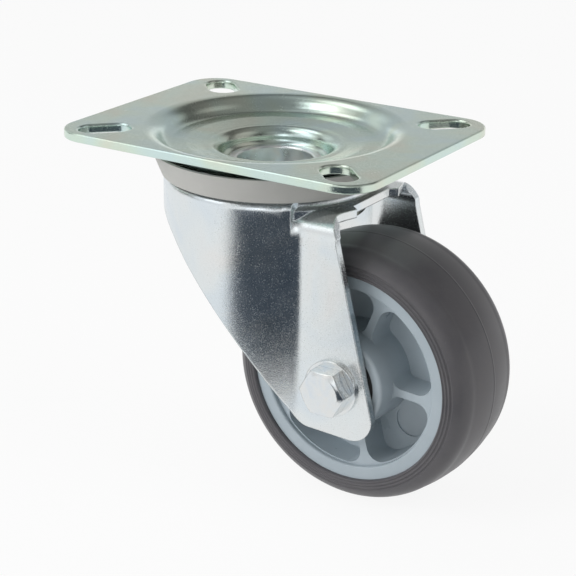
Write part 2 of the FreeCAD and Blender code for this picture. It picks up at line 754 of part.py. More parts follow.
def make_dust_seal(doc, s, z):
    """Plastic ring that closes the gap of the upper race and lies on the crown."""
    body = new_body(doc, "dust_seal")
    top, foot = -s.seal_top, -s.seal_foot
    ledge = z.crown + s.seal_ledge_height
    lean = (s.seal_top_radius - s.seal_foot_radius) / (top - foot)
    inner_at_ledge = s.seal_foot_radius - s.seal_wall + lean * (ledge - foot)
    flat = s.bell_radius - s.crown_shoulder
    rim = s.seal_foot_radius - s.seal_wall / 2
    section = new_sketch(body, "SealSection", "XZ_Plane")
    draw(section, [
        (s.seal_top_radius, top), (s.seal_top_radius - s.seal_wall, top),
        (inner_at_ledge, ledge), (s.seal_ledge, ledge),
        (s.seal_ledge, z.crown), (flat, z.crown), (rim, z.crown + s.race_gap),
        (rim, foot), (s.seal_foot_radius, foot),
    ])
    revolve(body, "SealRing", section)
    return body


def hexagon(flats):
    """Corners of a hexagon with two flats across X."""
    corner = flats / root(as_size(3))
    return [(corner * cosine(60 * i), corner * sine(60 * i)) for i in range(6)]


def make_axle_bolt(doc, s, z):
    """Hexagon bolt along the axle. Its head is on the -Y side."""
    body = new_body(doc, "axle_bolt")
    seat = s.fork_width / 2 + s.washer_thickness
    head = new_sketch(body, "HeadPlan", height=seat)
    draw(head, hexagon(s.head_flats))
    pad(body, "Head", head, s.head_height)
    crown = new_sketch(body, "HeadCrown", "XZ_Plane")
    corner = s.head_flats / root(as_size(3)) + 1
    end = seat + s.head_height
    drop = (corner - s.head_crown) * 0.45
    draw(crown, [(s.head_crown, end), (corner, end - drop), (corner, end)])
    revolve(body, "HeadCrownCut", crown, cut=True)
    shank = new_sketch(body, "ShankPlan", height=seat)
    draw_circle(shank, s.bolt_radius)
    length = 2 * seat + s.nut_height + s.nut_collar_height + s.bolt_tail
    pad(body, "Shank", shank, length, down=True)
    round_edges(body, "ShankEnd", s.pin_edge, ring_edge(s.bolt_radius, seat - length))
    set_wheel_place(body, s)
    return body


def make_washer(doc, s, label, side):
    body = new_body(doc, label)
    low = s.fork_width / 2
    if side < 0:
        low = -low - s.washer_thickness
    plan = new_sketch(body, label + "Plan", height=low)
    draw_circle(plan, s.washer_radius)
    draw_circle(plan, s.bolt_radius + s.bolt_gap)
    pad(body, label + "Ring", plan, s.washer_thickness)
    set_wheel_place(body, s)
    return body


def make_lock_nut(doc, s, z):
    """Hexagon nut with a collar that holds the nylon insert, on the +Y side."""
    body = new_body(doc, "lock_nut")
    seat = -s.fork_width / 2 - s.washer_thickness
    plan = new_sketch(body, "NutPlan", height=seat)
    draw(plan, hexagon(s.head_flats))
    pad(body, "NutHexagon", plan, s.nut_height, down=True)
    chamfer = new_sketch(body, "NutCrown", "XZ_Plane")
    corner = s.head_flats / root(as_size(3)) + 1
    end = seat - s.nut_height
    drop = (corner - s.nut_collar) * 0.5
    draw(chamfer, [(s.nut_collar, end), (corner, end), (corner, end + drop)])
    revolve(body, "NutCrownCut", chamfer, cut=True)
    collar = new_sketch(body, "CollarPlan", height=end)
    draw_circle(collar, s.nut_collar)
    pad(body, "Collar", collar, s.nut_collar_height, down=True)
    bore = new_sketch(body, "NutBore", height=seat)
    draw_circle(bore, s.bolt_radius + s.mould_gap)
    pocket(body, "NutBoreCut", bore, s.nut_height + s.nut_collar_height)
    seat_cut = new_sketch(body, "InsertSeat", height=end - s.nut_collar_height)
    draw_circle(seat_cut, s.insert_radius)
    pocket(body, "InsertSeatCut", seat_cut, s.insert_height, up=True)
    set_wheel_place(body, s)
    return body


def make_nut_insert(doc, s, z):
    body = new_body(doc, "nut_insert")
    outer_end = -s.fork_width / 2 - s.washer_thickness - s.nut_height - s.nut_collar_height
    plan = new_sketch(body, "InsertPlan", height=outer_end)
    draw_circle(plan, s.insert_radius - s.mould_gap)
    draw_circle(plan, s.bolt_radius + s.mould_gap)
    pad(body, "InsertRing", plan, s.insert_height)
    set_wheel_place(body, s)
    return body


def make_axle_tube(doc, s, z):
    """Steel tube that the bolt clamps between the legs."""
    body = new_body(doc, "axle_tube")
    plan = new_sketch(body, "TubePlan")
    draw_circle(plan, s.tube_radius)
    draw_circle(plan, s.bolt_radius + s.bolt_gap)
    pad(body, "Tube", plan, s.fork_width - 2 * s.fork_sheet, both=True)
    set_wheel_place(body, s)
    return body


def roller_circle(s):
    return s.tube_radius + s.roller_gap + s.roller_radius


def hub_bore(s):
    return roller_circle(s) + s.roller_radius + s.roller_gap


def make_rollers(doc, s, z):
    """Needle rollers between the axle tube and the hub."""
    circle = roller_circle(s).value
    rollers = []
    count = int(s.roller_count.value)
    length = s.roller_length.value
    for i in range(count):
        angle = 2 * math.pi * i / count
        base = FreeCAD.Vector(circle * math.cos(angle), circle * math.sin(angle), -length / 2)
        rollers.append(Part.makeCylinder(s.roller_radius.value, length, base))
    item = doc.addObject("Part::Feature", "rollers")
    item.Label = "rollers"
    item.Shape = Part.makeCompound(rollers)
    set_wheel_place(item, s)
    return item


def make_roller_cage(doc, s, z):
    """Plastic cage: a sleeve with one pocket for each roller."""
    body = new_body(doc, "roller_cage")
    middle = roller_circle(s)
    length = s.roller_length + 2 * s.cage_gap + 2 * s.cage_end
    plan = new_sketch(body, "CagePlan")
    draw_circle(plan, middle + s.cage_wall / 2)
    draw_circle(plan, middle - s.cage_wall / 2)
    pad(body, "CageSleeve", plan, length, both=True)
    seat = new_sketch(body, "CagePocket")
    draw_circle(seat, s.roller_radius + s.cage_gap, middle)
    pocket(body, "CagePocketCut", seat, s.roller_length + 2 * s.cage_gap, both=True)
    repeat(body, "CagePockets", s.roller_count)
    set_wheel_place(body, s)
    return body


def repeat(body, name, count):
    """Repeat the last feature round the body's Z axis."""
    doc = body.Document
    doc.recompute()
    pattern = body.newObject("PartDesign::PolarPattern", name)
    pattern.Originals = [body.Group[-2]]
    pattern.Axis = (origin_item(body, "Z_Axis"), [""])
    pattern.Angle = 360
    pattern.Occurrences = int(count.value)
    pattern.setExpression("Occurrences", count.formula)
    body.Tip = pattern
    return pattern


def cap_seat(s):
    """Distance of a bearing cap's inner face from the wheel's middle."""
    return (s.roller_length + 2 * s.cage_gap + 2 * s.cage_end) / 2 + s.cap_gap


def make_bearing_cap(doc, s, label, side):
    """Plastic ring pressed into the hub's end. It keeps the rollers in."""
    body = new_body(doc, label)
    low = cap_seat(s)
    if side < 0:
        low = -low - s.cap_thickness
    plan = new_sketch(body, label + "Plan", height=low)
    draw_circle(plan, s.hub_radius - s.hub_lip - s.mould_gap)
    draw_circle(plan, s.tube_radius + s.cap_gap)
    pad(body, label + "Ring", plan, s.cap_thickness)
    set_wheel_place(body, s)
    return body


def make_wheel_rim(doc, s, z):
    """Moulded rim: hub, web, outer band and five spokes on each side."""
    body = new_body(doc, "wheel_rim")
    half = s.rim_width / 2
    hub = s.hub_width / 2
    spoke = half - s.spoke_recess
    key = s.tyre_key / 2
    bore = hub_bore(s)
    recess = s.hub_radius - s.hub_lip
    section = new_sketch(body, "RimSection", "XZ_Plane")
    right = [
        (bore, cap_seat(s)), (recess, cap_seat(s)), (recess, hub),
        (s.hub_radius, hub), (s.hub_radius + s.hub_draft, spoke),
        (s.rim_inner - s.rim_draft / 4, spoke), (s.rim_inner, half),
        (s.rim_radius, half), (s.rim_radius, key), (s.rim_radius - s.tyre_key_depth, key),
    ]
    left = [(x, -y) for x, y in reversed(right)]
    draw(section, left + right)
    revolve(body, "RimForm", section)
    for side in (1, -1):
        round_edges(body, "RimEdge%d" % (side + 1), s.rim_edge, ring_edge(s.rim_inner, half * side))
        round_edges(body, "HubEdge%d" % (side + 1), s.hub_edge, ring_edge(s.hub_radius, hub * side))
    cut_pockets(body, s, spoke)
    cut_mould_mark(body, s)
    set_wheel_place(body, s)
    return body


def cut_pockets(body, s, spoke):
    """Pockets between the spokes, from both sides down to the web."""
    inner = s.hub_radius + s.hub_draft
    outer = s.rim_inner - s.rim_draft
    depth = spoke - s.web_thickness / 2
    for side in (1, -1):
        name = "Near" if side > 0 else "Far"
        plan = new_sketch(body, name + "Pocket", height=spoke * side)
        draw(plan, pocket_outline(s, inner, outer))
        pocket(body, name + "PocketCut", plan, depth, up=side < 0, draft=-s.pocket_draft)
        repeat(body, name + "Pockets", s.spoke_count)


def pocket_outline(s, inner, outer):
    """A rounded sector between two spokes, centred half a pitch after the first spoke."""
    pitch = 360 / s.spoke_count
    half = s.spoke_width / 2
    big, small = s.pocket_outer_round, s.pocket_inner_round
    path = []
    corners = (
        (s.spoke_first, 1, outer - big, big, True),
        (s.spoke_first + pitch, -1, outer - big, big, True),
        (s.spoke_first + pitch, -1, inner + small, small, False),
        (s.spoke_first, 1, inner + small, small, False),
    )
    for spoke_angle, side, circle, rounding, at_rim in corners:
        offset = half + rounding
        along = root(circle * circle - offset * offset)
        flank = turned(along, half * side, spoke_angle)
        share = outer / circle if at_rim else inner / circle
        arc_end = turned(along * share, offset * side * share, spoke_angle)
        first, second = (flank, arc_end) if at_rim == (side > 0) else (arc_end, flank)
        reach = outer if at_rim else inner
        if first is flank:
            path.append(first)
            path.append((*second, rounding, "left"))
        else:
            path.append((*first, reach, "left" if at_rim else "right"))
            path.append((*second, rounding, "left"))
    return path


def turned(x, y, angle):
    """The point x, y turned round the origin."""
    return (x * cosine(angle) - y * sine(angle), x * sine(angle) + y * cosine(angle))


def cut_mould_mark(body, s):
    """A shallow round mark on the web, in the pocket that points back and down."""
    pitch = 360 / s.spoke_count
    angle = s.spoke_first - 1.5 * pitch
    mark = new_sketch(body, "MouldMark", height=s.web_thickness / 2)
    draw_circle(mark, s.mark_radius, s.mark_circle * cosine(angle), s.mark_circle * sine(angle))
    pocket(body, "MouldMarkCut", mark, s.mark_depth)


def make_tyre(doc, s, z):
    """Soft tread moulded round the rim, with fine rings on both side walls."""
    body = new_body(doc, "tyre")
    wall = s.tyre_width / 2
    foot = s.rim_width / 2 + s.tyre_step
    shoulder = s.tyre_shoulder
    crown = s.wheel_radius - s.tyre_crown
    flat = wall - shoulder
    inner = s.rim_radius + s.mould_gap
    key = s.tyre_key / 2 - s.mould_gap
    depth = s.rim_radius - s.tyre_key_depth + s.mould_gap
    belly = (flat * flat + s.tyre_crown * s.tyre_crown) / (2 * s.tyre_crown)
    section = new_sketch(body, "TyreSection", "XZ_Plane")
    draw(section, [
        (inner, -key), (inner, -foot),
        (crown - shoulder, -wall),
        (crown, -flat, shoulder, "left"),
        (s.wheel_radius, 0, belly, "left"),
        (crown, flat, belly, "left"),
        (crown - shoulder, wall, shoulder, "left"),
        (inner, foot), (inner, key), (depth, key), (depth, -key),
    ])
    revolve(body, "TyreForm", section)
    for i in range(int(s.ring_groove_count.value)):
        for side in (1, -1):
            cut_ring_groove(body, s, i, side)
    set_wheel_place(body, s)
    return body


def cut_ring_groove(body, s, index, side):
    """One fine groove round a side wall, where its flat turns into the shoulder."""
    inner = s.rim_radius + s.ring_groove_start + s.ring_groove_pitch * index
    wall = s.tyre_width / 2
    shoulder = s.tyre_shoulder
    beyond = inner + s.ring_groove / 2 - (s.wheel_radius - s.tyre_crown - shoulder)
    surface = wall - shoulder + root(shoulder * shoulder - beyond * beyond)
    bottom = surface - s.ring_groove_depth
    low, high = bottom * side, (wall + 1) * side
    if side < 0:
        low, high = high, low
    plan = new_sketch(body, "RingGroove%d%d" % (index, side + 1), "XZ_Plane")
    draw(plan, rectangle(inner, low, inner + s.ring_groove, high))
    revolve(body, "RingGrooveCut%d%d" % (index, side + 1), plan, cut=True)


def check(doc, nodes):
    """Stop if any feature failed or any piece is not a sound solid."""
    for item in doc.Objects:
        if "Invalid" in item.State or "Error" in item.State:
            raise RuntimeError("%s is in state %s" % (item.Label, item.State))
    for item in nodes:
        shape = item.Shape
        if shape.isNull() or not shape.isValid() or not shape.Solids:
            raise RuntimeError("%s has no valid solid" % item.Label)
        print("%-14s solids %2d  volume %10.2f mm3" % (item.Label, len(shape.Solids), shape.Volume))


def main():
    doc = FreeCAD.newDocument("castor")
    s = make_sheet(doc)
    z = levels(s)
    nodes = [
        make_top_plate(doc, s, z),
        make_king_pin(doc, s, z),
        make_lower_race(doc, s, z),
        make_balls(doc, s, "upper_balls", s.upper_circle, z.upper_balls),
        make_balls(doc, s, "lower_balls", s.lower_circle, z.lower_balls),
        make_fork(doc, s, z),
        make_dust_seal(doc, s, z),
        make_axle_bolt(doc, s, z),
        make_washer(doc, s, "head_washer", 1),
        make_washer(doc, s, "nut_washer", -1),
        make_lock_nut(doc, s, z),
        make_nut_insert(doc, s, z),
        make_axle_tube(doc, s, z),
        make_rollers(doc, s, z),
        make_roller_cage(doc, s, z),
        make_bearing_cap(doc, s, "near_cap", 1),
        make_bearing_cap(doc, s, "far_cap", -1),
        make_wheel_rim(doc, s, z),
        make_tyre(doc, s, z),
    ]
    doc.recompute()
    check(doc, nodes)
    os.makedirs("parts", exist_ok=True)
    for item in nodes:
        item.Shape.exportStep("parts/%s.step" % item.Label)


main()
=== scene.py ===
import math

import bmesh
import bpy
from mathutils import Matrix, Vector


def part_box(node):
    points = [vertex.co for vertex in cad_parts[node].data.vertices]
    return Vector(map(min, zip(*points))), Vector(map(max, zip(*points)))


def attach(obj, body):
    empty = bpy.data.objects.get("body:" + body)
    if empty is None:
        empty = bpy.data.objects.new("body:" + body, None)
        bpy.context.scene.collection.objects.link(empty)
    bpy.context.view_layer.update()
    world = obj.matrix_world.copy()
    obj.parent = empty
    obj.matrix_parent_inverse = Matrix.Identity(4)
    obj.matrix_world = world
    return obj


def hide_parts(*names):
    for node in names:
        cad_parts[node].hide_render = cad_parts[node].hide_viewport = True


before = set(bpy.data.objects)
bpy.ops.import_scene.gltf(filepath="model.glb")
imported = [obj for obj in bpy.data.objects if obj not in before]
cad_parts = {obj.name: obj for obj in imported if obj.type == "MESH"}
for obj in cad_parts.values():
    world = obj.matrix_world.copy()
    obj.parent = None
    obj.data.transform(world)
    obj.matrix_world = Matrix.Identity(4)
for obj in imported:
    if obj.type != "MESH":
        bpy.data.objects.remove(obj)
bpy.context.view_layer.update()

# Looks of the swivel castor: materials, the tyre with its fine rings, light and camera.
# Lengths are in metres, in the frame of the solids.

MM = 0.001
FLOOR_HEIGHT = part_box("tyre")[0].z
WHEEL_CENTRE = (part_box("tyre")[0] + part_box("tyre")[1]) / 2

# The camera of the photo: what it looks at, how far off, its angles in degrees and its lens.
LOOK_AT = Vector((4.69, 0.18, -50.0)) * MM
CAMERA_DISTANCE = 534.5 * MM
CAMERA_AZIMUTH = 32.63
CAMERA_ELEVATION = 20.68
CAMERA_ROLL = 0.5
CAMERA_LENS = 110.28
SENSOR_WIDTH = 36.0

# The studio's lights, as the metal mirrors them: degrees to the right of the camera's side, degrees
# above the horizon, how bright, and the angles from its middle between which each one fades out.
STUDIO_LIGHTS = {
    "ceiling": (0, 90, 0.25, 15, 60),
    "left_key": (288, 32, 1.0, 6, 34),
    "front_left": (330, 10, 0.8, 6, 32),
    "front_fill": (0, 30, 0.3, 6, 34),
    "right_fill": (75, 32, 0.45, 6, 34),
    "back_left": (230, 48, 0.4, 8, 36),
    "bell_glint": (345, 14, 1.2, 4, 15),
    "fold_glint": (335, 4, 0.6, 4, 15),
    "shelf_glint": (287, 36, 0.7, 4, 15),
    "bowl_glint": (285, 61, 2.2, 4, 15),
    "rim_glint": (230, 56, 1.4, 4, 15),
}

# A long low panel behind the castor, which the flat plate mirrors: as a row of glows.
PANEL_AZIMUTHS = range(130, 231, 10)
PANEL_ELEVATION = 21
PANEL_LEVEL = 0.52
PANEL_FADE = (8, 20)

# The white backdrop goes up to here and then gives way to the dim room, in degrees.
BACKDROP_FADE = (8, 14)

# How much of the floor's own shading gives way to plain white.
FLOOR_WHITENESS = 0.9

# The black card before the castor: where it starts and ends, half its widths, and its lift off the floor.
CARD_START = 115 * MM
CARD_END = 900 * MM
CARD_NEAR_HALF = 104 * MM
CARD_FAR_HALF = 780 * MM
CARD_LIFT = 1 * MM
CARD_COLOUR = (0.03, 0.045, 0.065)

# The soft lean of the bell below the seal: its heights, how uneven, how deep, and where it ends.
SHOULDER_START = -17.4 * MM
SHOULDER_END = -12.6 * MM
SHOULDER_UNEVEN = 0.7 * MM
SHOULDER_LEAN = 0.5 * MM
SHOULDER_BACK = 20.5 * MM

# The zinc's grain: sizes of its specks, flecks, gloss clouds and waves, and how deep specks and waves are.
SPECK_SIZE = 0.3 * MM
SPECK_DEPTH = 0.034 * MM
FLECK_SIZE = 0.24 * MM
GLOSS_CLOUD_SIZE = 5 * MM
WAVE_SIZE = 6 * MM
WAVE_DEPTH = 0.02 * MM

# The rare cells of a pattern that become flecks, and how much duller a fleck is.
FLECK_CHOICE = (0.84, 0.92)
FLECK_DULLNESS = 0.16

# Moulded plastic: depth of its fine texture and size of its clouds of tone.
PLASTIC_TEXTURE = 0.02 * MM
PLASTIC_CLOUD = 12 * MM

# The floor is a wide disc of this radius and colour.
FLOOR_RADIUS = 3.0
FLOOR_COLOUR = (0.85, 0.85, 0.85)

# The lamps: place, size across and power.
LAMPS = {
    "left_lamp": ((-0.50, -0.72, 0.28), 0.6, 4.2),
    "right_lamp": ((0.75, 0.10, 0.60), 0.6, 1.6),
}

# How far the sheared edges of the pressed sheets look rounded.
EDGE_ROUNDING = 0.55 * MM

# The tyre's section, as in the solids, and how many steps it has round the wheel.
# The grooves are given by their radii from the axle in millimetres.
TYRE_SHOULDER = 6.8 * MM
TYRE_CROWN = 1.0 * MM
TYRE_SEAM = 0.06 * MM
TYRE_GROOVES = (34.35, 33.35, 32.35)
TYRE_GROOVE_DEPTH = 0.3 * MM
TYRE_GROOVE_FORM = ((0.6, 0), (0.45, TYRE_GROOVE_DEPTH), (0, TYRE_GROOVE_DEPTH), (-0.12, 0))
TYRE_RIM_HALF = 15.7 * MM
TYRE_OVER_RIM = 0.02 * MM
TYRE_STEPS = 256


class Surface:
    """One procedural material, built up node by node in the object's own coordinates."""

    def __init__(self, name, **settings):
        self.material = bpy.data.materials.new(name)
        self.material.use_nodes = True
        self.tree = self.material.node_tree
        self.shader = self.tree.nodes["Principled BSDF"]
        self.place = self.add("ShaderNodeTexCoord").outputs["Object"]
        for key, value in settings.items():
            self.shader.inputs[key.title()].default_value = value

    def add(self, kind):
        return self.tree.nodes.new(kind)

    def connect(self, source, target):
        """Link a socket, or store a plain value."""
        if isinstance(source, bpy.types.NodeSocket):
            self.tree.links.new(source, target)
        else:
            target.default_value = source

    def noise(self, size, detail=3.0, roughness=0.5, distortion=0.0):
        """Noise whose lumps are about size across."""
        node = self.add("ShaderNodeTexNoise")
        self.connect(self.place, node.inputs["Vector"])
        node.inputs["Scale"].default_value = 1 / size
        node.inputs["Detail"].default_value = detail
        node.inputs["Roughness"].default_value = roughness
        node.inputs["Distortion"].default_value = distortion
        return node.outputs["Fac"]

    def span(self, source, low, high, new_low, new_high):
        """Map low..high to new_low..new_high, clamped."""
        node = self.add("ShaderNodeMapRange")
        self.connect(source, node.inputs["Value"])
        for key, value in (("From Min", low), ("From Max", high), ("To Min", new_low), ("To Max", new_high)):
            node.inputs[key].default_value = value
        return node.outputs["Result"]

    def arithmetic(self, operation, first, second):
        node = self.add("ShaderNodeMath")
        node.operation = operation
        self.connect(first, node.inputs[0])
        self.connect(second, node.inputs[1])
        return node.outputs[0]

    def blend(self, factor, first, second):
        """Mix two colours."""
        node = self.add("ShaderNodeMix")
        node.data_type = "RGBA"
        self.connect(factor, node.inputs[0])
        for colour, socket in ((first, node.inputs[6]), (second, node.inputs[7])):
            self.connect(colour if isinstance(colour, bpy.types.NodeSocket) else (*colour, 1.0), socket)
        return node.outputs[2]

    def bump(self, height, distance, strength, below=None):
        node = self.add("ShaderNodeBump")
        self.connect(height, node.inputs["Height"])
        node.inputs["Distance"].default_value = distance
        node.inputs["Strength"].default_value = strength
        if below is not None:
            self.connect(below, node.inputs["Normal"])
        return node.outputs["Normal"]

    def finish(self, colour=None, roughness=None, normal=None):
        for source, name in ((colour, "Base Color"), (roughness, "Roughness"), (normal, "Normal")):
            if source is not None:
                self.connect(source, self.shader.inputs[name])
        return self.material


def zinc(name, tint, cool, warm, roughness, grain, patches=18 * MM, pressed=None):
    """Zinc plating: a faint shift of hue in patches, fine specks and flecks, and clouds in the gloss."""
    s = Surface(name, metallic=1.0)
    hue = s.noise(patches, detail=2.0, distortion=0.6)
    colour = s.blend(s.span(hue, 0.35, 0.5, 0.0, 1.0), cool, tint)
    colour = s.blend(s.span(hue, 0.5, 0.68, 0.0, 0.8), colour, warm)
    specks = s.noise(SPECK_SIZE, detail=3.0, roughness=0.75)
    colour = s.blend(s.span(specks, 0.6, 0.75, 0.0, 0.25 * grain), colour, tuple(0.7 * c for c in tint))
    cloud = s.noise(GLOSS_CLOUD_SIZE, detail=4.0, roughness=0.6)
    gloss = s.span(cloud, 0.3, 0.7, roughness * 0.85, roughness * 1.2)
    edge = s.add("ShaderNodeBevel")
    edge.samples = 6
    edge.inputs["Radius"].default_value = EDGE_ROUNDING
    facets = s.add("ShaderNodeTexVoronoi")
    s.connect(s.place, facets.inputs["Vector"])
    facets.inputs["Scale"].default_value = 1 / FLECK_SIZE
    chosen = s.add("ShaderNodeSeparateColor")
    s.connect(facets.outputs["Color"], chosen.inputs[0])
    flecks = s.arithmetic("MULTIPLY", s.span(chosen.outputs[0], *FLECK_CHOICE, 0.0, 1.0), specks)
    gloss = s.arithmetic("ADD", gloss, s.span(flecks, 0.3, 0.6, 0.0, FLECK_DULLNESS * grain))
    base = edge.outputs["Normal"]
    if pressed is not None:
        base = pressed(s, base)
    fine = s.bump(specks, SPECK_DEPTH, grain, base)
    normal = s.bump(s.noise(WAVE_SIZE, detail=2.0), WAVE_DEPTH, 0.5, fine)
    return s.finish(colour, gloss, normal)


def bell_shoulder(s, normal):
    """The bell leans in softly below the seal, a little unevenly, as pressing leaves it."""
    split = s.add("ShaderNodeSeparateXYZ")
    s.connect(s.place, split.inputs[0])
    uneven = s.span(s.noise(9 * MM, detail=2.0), 0.3, 0.7, -SHOULDER_UNEVEN, SHOULDER_UNEVEN)
    height = s.arithmetic("ADD", split.outputs["Z"], uneven)
    rise = s.span(height, SHOULDER_START, SHOULDER_END, 0.0, 1.0)
    front = s.span(split.outputs["X"], SHOULDER_BACK - 1 * MM, SHOULDER_BACK, 1.0, 0.0)
    lean = s.arithmetic("MULTIPLY", s.arithmetic("MULTIPLY", rise, rise), front)
    return s.bump(s.arithmetic("SUBTRACT", 1.0, lean), SHOULDER_LEAN, 1.0, normal)


def stained_plate():
    """The plate's plating, with faint clouds of a cooler and a warmer hue."""
    cool, plain, warm = (0.60, 0.74, 0.73), (0.63, 0.75, 0.66), (0.68, 0.69, 0.58)
    return zinc("zinc_plate", plain, cool, warm, 0.2, 0.45, 22 * MM)


def polished_steel():
    s = Surface("polished_steel", metallic=1.0)
    film = s.noise(2 * MM)
    colour = s.blend(s.span(film, 0.3, 0.7, 0.0, 1.0), (0.55, 0.56, 0.57), (0.66, 0.66, 0.66))
    return s.finish(colour, s.span(film, 0.3, 0.7, 0.12, 0.22))


def plastic(name, dark, light, roughness):
    """Moulded plastic: a fine satin texture and a slight unevenness of tone."""
    s = Surface(name)
    tone = s.noise(PLASTIC_CLOUD, detail=4.0, roughness=0.6)
    colour = s.blend(s.span(tone, 0.3, 0.7, 0.0, 1.0), dark, light)
    grain = s.noise(0.35 * MM, detail=2.0)
    gloss = s.span(tone, 0.3, 0.7, roughness * 0.9, roughness * 1.12)
    return s.finish(colour, gloss, s.bump(grain, PLASTIC_TEXTURE, 0.5))


def tread_rubber():
    """Dark warm rubber with a satin skin and faint dust."""
    s = Surface("tread_rubber")
    tone = s.noise(9 * MM, detail=5.0, roughness=0.65)
    dust = s.noise(0.6 * MM, detail=3.0, roughness=0.7)
    colour = s.blend(s.span(tone, 0.3, 0.7, 0.0, 1.0), (0.082, 0.080, 0.088), (0.102, 0.098, 0.104))
    colour = s.blend(s.span(dust, 0.62, 0.75, 0.0, 0.12), colour, (0.3, 0.3, 0.3))
    gloss = s.span(tone, 0.3, 0.7, 0.36, 0.46)
    return s.finish(colour, gloss, s.bump(s.noise(0.25 * MM), 0.02 * MM, 0.5))


def paint(names, material):
    """Give CAD nodes a material."""
    for name in names:
        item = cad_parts[name]
        item.data.materials.clear()
        item.data.materials.append(material)


def lathe(name, profile, centre, segments):
    """A closed ring of revolution about the wheel's axle. The profile is (radius, place along Y)."""
    mesh = bpy.data.meshes.new(name)
    form = bmesh.new()
    loops = []
    for i in range(segments):
        angle = 2 * math.pi * i / segments
        across = Vector((math.cos(angle), 0, math.sin(angle)))
        loops.append([form.verts.new(centre + across * r + Vector((0, y, 0))) for r, y in profile])
    for i in range(segments):
        here, after = loops[i - 1], loops[i]
        for j in range(len(profile)):
            form.faces.new((here[j - 1], here[j], after[j], after[j - 1]))
    bmesh.ops.recalc_face_normals(form, faces=form.faces)
    form.to_mesh(mesh)
    form.free()
    mesh.shade_smooth()
    item = bpy.data.objects.new(name, mesh)
    bpy.context.scene.collection.objects.link(item)
    return item


def arc(centre, radius, start, end, steps):
    """Points on an arc, angles in degrees from the +radius direction towards +Y."""
    points = []
    for i in range(steps + 1):
        angle = math.radians(start + (end - start) * i / steps)
        points.append((centre[0] + radius * math.cos(angle), centre[1] + radius * math.sin(angle)))
    return points


def tyre_half_profile(radius, rim, half_width, rim_half):
    """From the middle of the tread to the rim, on the +Y side."""
    flat = half_width - TYRE_SHOULDER
    belly = (flat * flat + TYRE_CROWN * TYRE_CROWN) / (2 * TYRE_CROWN)
    spread = math.degrees(math.asin(flat / belly))
    middle = radius - TYRE_CROWN - TYRE_SHOULDER
    points = [(radius + TYRE_SEAM, 0.0), (radius + TYRE_SEAM, 0.08 * MM), (radius, 0.16 * MM)]
    points += arc((radius - belly, 0.0), belly, spread * 0.06, spread, 10)
    points += arc((middle, flat), TYRE_SHOULDER, 4, 64, 14)
    for start in TYRE_GROOVES:
        for offset, sunk in TYRE_GROOVE_FORM:
            r = (start + offset) * MM
            rise = max(r - middle, 0.0)
            points.append((r, flat + math.sqrt(TYRE_SHOULDER ** 2 - rise ** 2) - sunk))
    points += [(middle, half_width), (rim, rim_half + 0.5 * MM), (rim - 0.01 * MM, rim_half - 3 * MM)]
    return points


def make_tyre():
    low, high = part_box("tyre")
    radius = (high.z - low.z) / 2 - TYRE_SEAM
    rim_low, rim_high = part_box("wheel_rim")
    rim = (rim_high.z - rim_low.z) / 2 + TYRE_OVER_RIM
    half = tyre_half_profile(radius, rim, high.y, TYRE_RIM_HALF)
    profile = [(r, -y) for r, y in reversed(half[1:])] + half
    item = lathe("tread_tyre", profile, WHEEL_CENTRE, TYRE_STEPS)
    item.data.materials.append(tread_rubber())
    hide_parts("tyre")
    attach(item, "wheel")


def dress_solids():
    plate = stained_plate()
    fork = zinc("zinc_fork", (0.73, 0.77, 0.78), (0.68, 0.74, 0.78), (0.76, 0.76, 0.75), 0.17, 0.9,
                pressed=bell_shoulder)
    bolt = zinc("zinc_bolt", (0.73, 0.76, 0.77), (0.69, 0.74, 0.78), (0.76, 0.76, 0.74), 0.15, 0.3, 5 * MM)
    # The king pin has the plate's zinc, painted brighter here: painted light on the pin, not a brighter
    # plating.
    pin = zinc("zinc_pin_painted_light", (0.86, 0.90, 0.89), (0.82, 0.88, 0.90), (0.88, 0.88, 0.84), 0.3, 0.4, 5 * MM)
    paint(["top_plate", "lower_race"], plate)
    paint(["king_pin"], pin)
    paint(["fork"], fork)
    paint(["axle_bolt", "head_washer", "nut_washer", "lock_nut", "axle_tube"], bolt)
    paint(["upper_balls", "lower_balls", "rollers"], polished_steel())
    paint(["dust_seal"], plastic("seal_plastic", (0.41, 0.41, 0.39), (0.45, 0.45, 0.43), 0.5))
    paint(["nut_insert"], plastic("nylon", (0.6, 0.62, 0.6), (0.7, 0.72, 0.7), 0.5))
    cage = plastic("cage_plastic", (0.05, 0.05, 0.055), (0.07, 0.07, 0.07), 0.45)
    paint(["roller_cage", "near_cap", "far_cap"], cage)
    paint(["wheel_rim"], plastic("rim_plastic", (0.35, 0.41, 0.45), (0.39, 0.45, 0.49), 0.3))


def camera_axes():
    """The camera's right, up and back directions."""
    a, e, r = (math.radians(v) for v in (CAMERA_AZIMUTH, CAMERA_ELEVATION, CAMERA_ROLL))
    back = Vector((math.sin(a) * math.cos(e), -math.cos(a) * math.cos(e), math.sin(e)))
    right = Vector((math.cos(a), math.sin(a), 0))
    up = back.cross(right)
    return math.cos(r) * right + math.sin(r) * up, math.cos(r) * up - math.sin(r) * right, back


def make_camera():
    data = bpy.data.cameras.new("photo_camera")
    data.lens = CAMERA_LENS
    data.sensor_width = SENSOR_WIDTH
    item = bpy.data.objects.new("photo_camera", data)
    bpy.context.scene.collection.objects.link(item)
    right, up, back = camera_axes()
    turn = Matrix((right, up, back)).transposed().to_4x4()
    item.matrix_world = Matrix.Translation(LOOK_AT + back * CAMERA_DISTANCE) @ turn
    bpy.context.scene.camera = item


def make_lamp(name, place, size, power):
    data = bpy.data.lights.new(name, "AREA")
    data.shape = "DISK"
    data.size = size
    data.energy = power
    item = bpy.data.objects.new(name, data)
    item.location = place
    item.rotation_mode = "QUATERNION"
    item.rotation_quaternion = (LOOK_AT - Vector(place)).to_track_quat("-Z", "Y")
    item.visible_glossy = False
    bpy.context.scene.collection.objects.link(item)


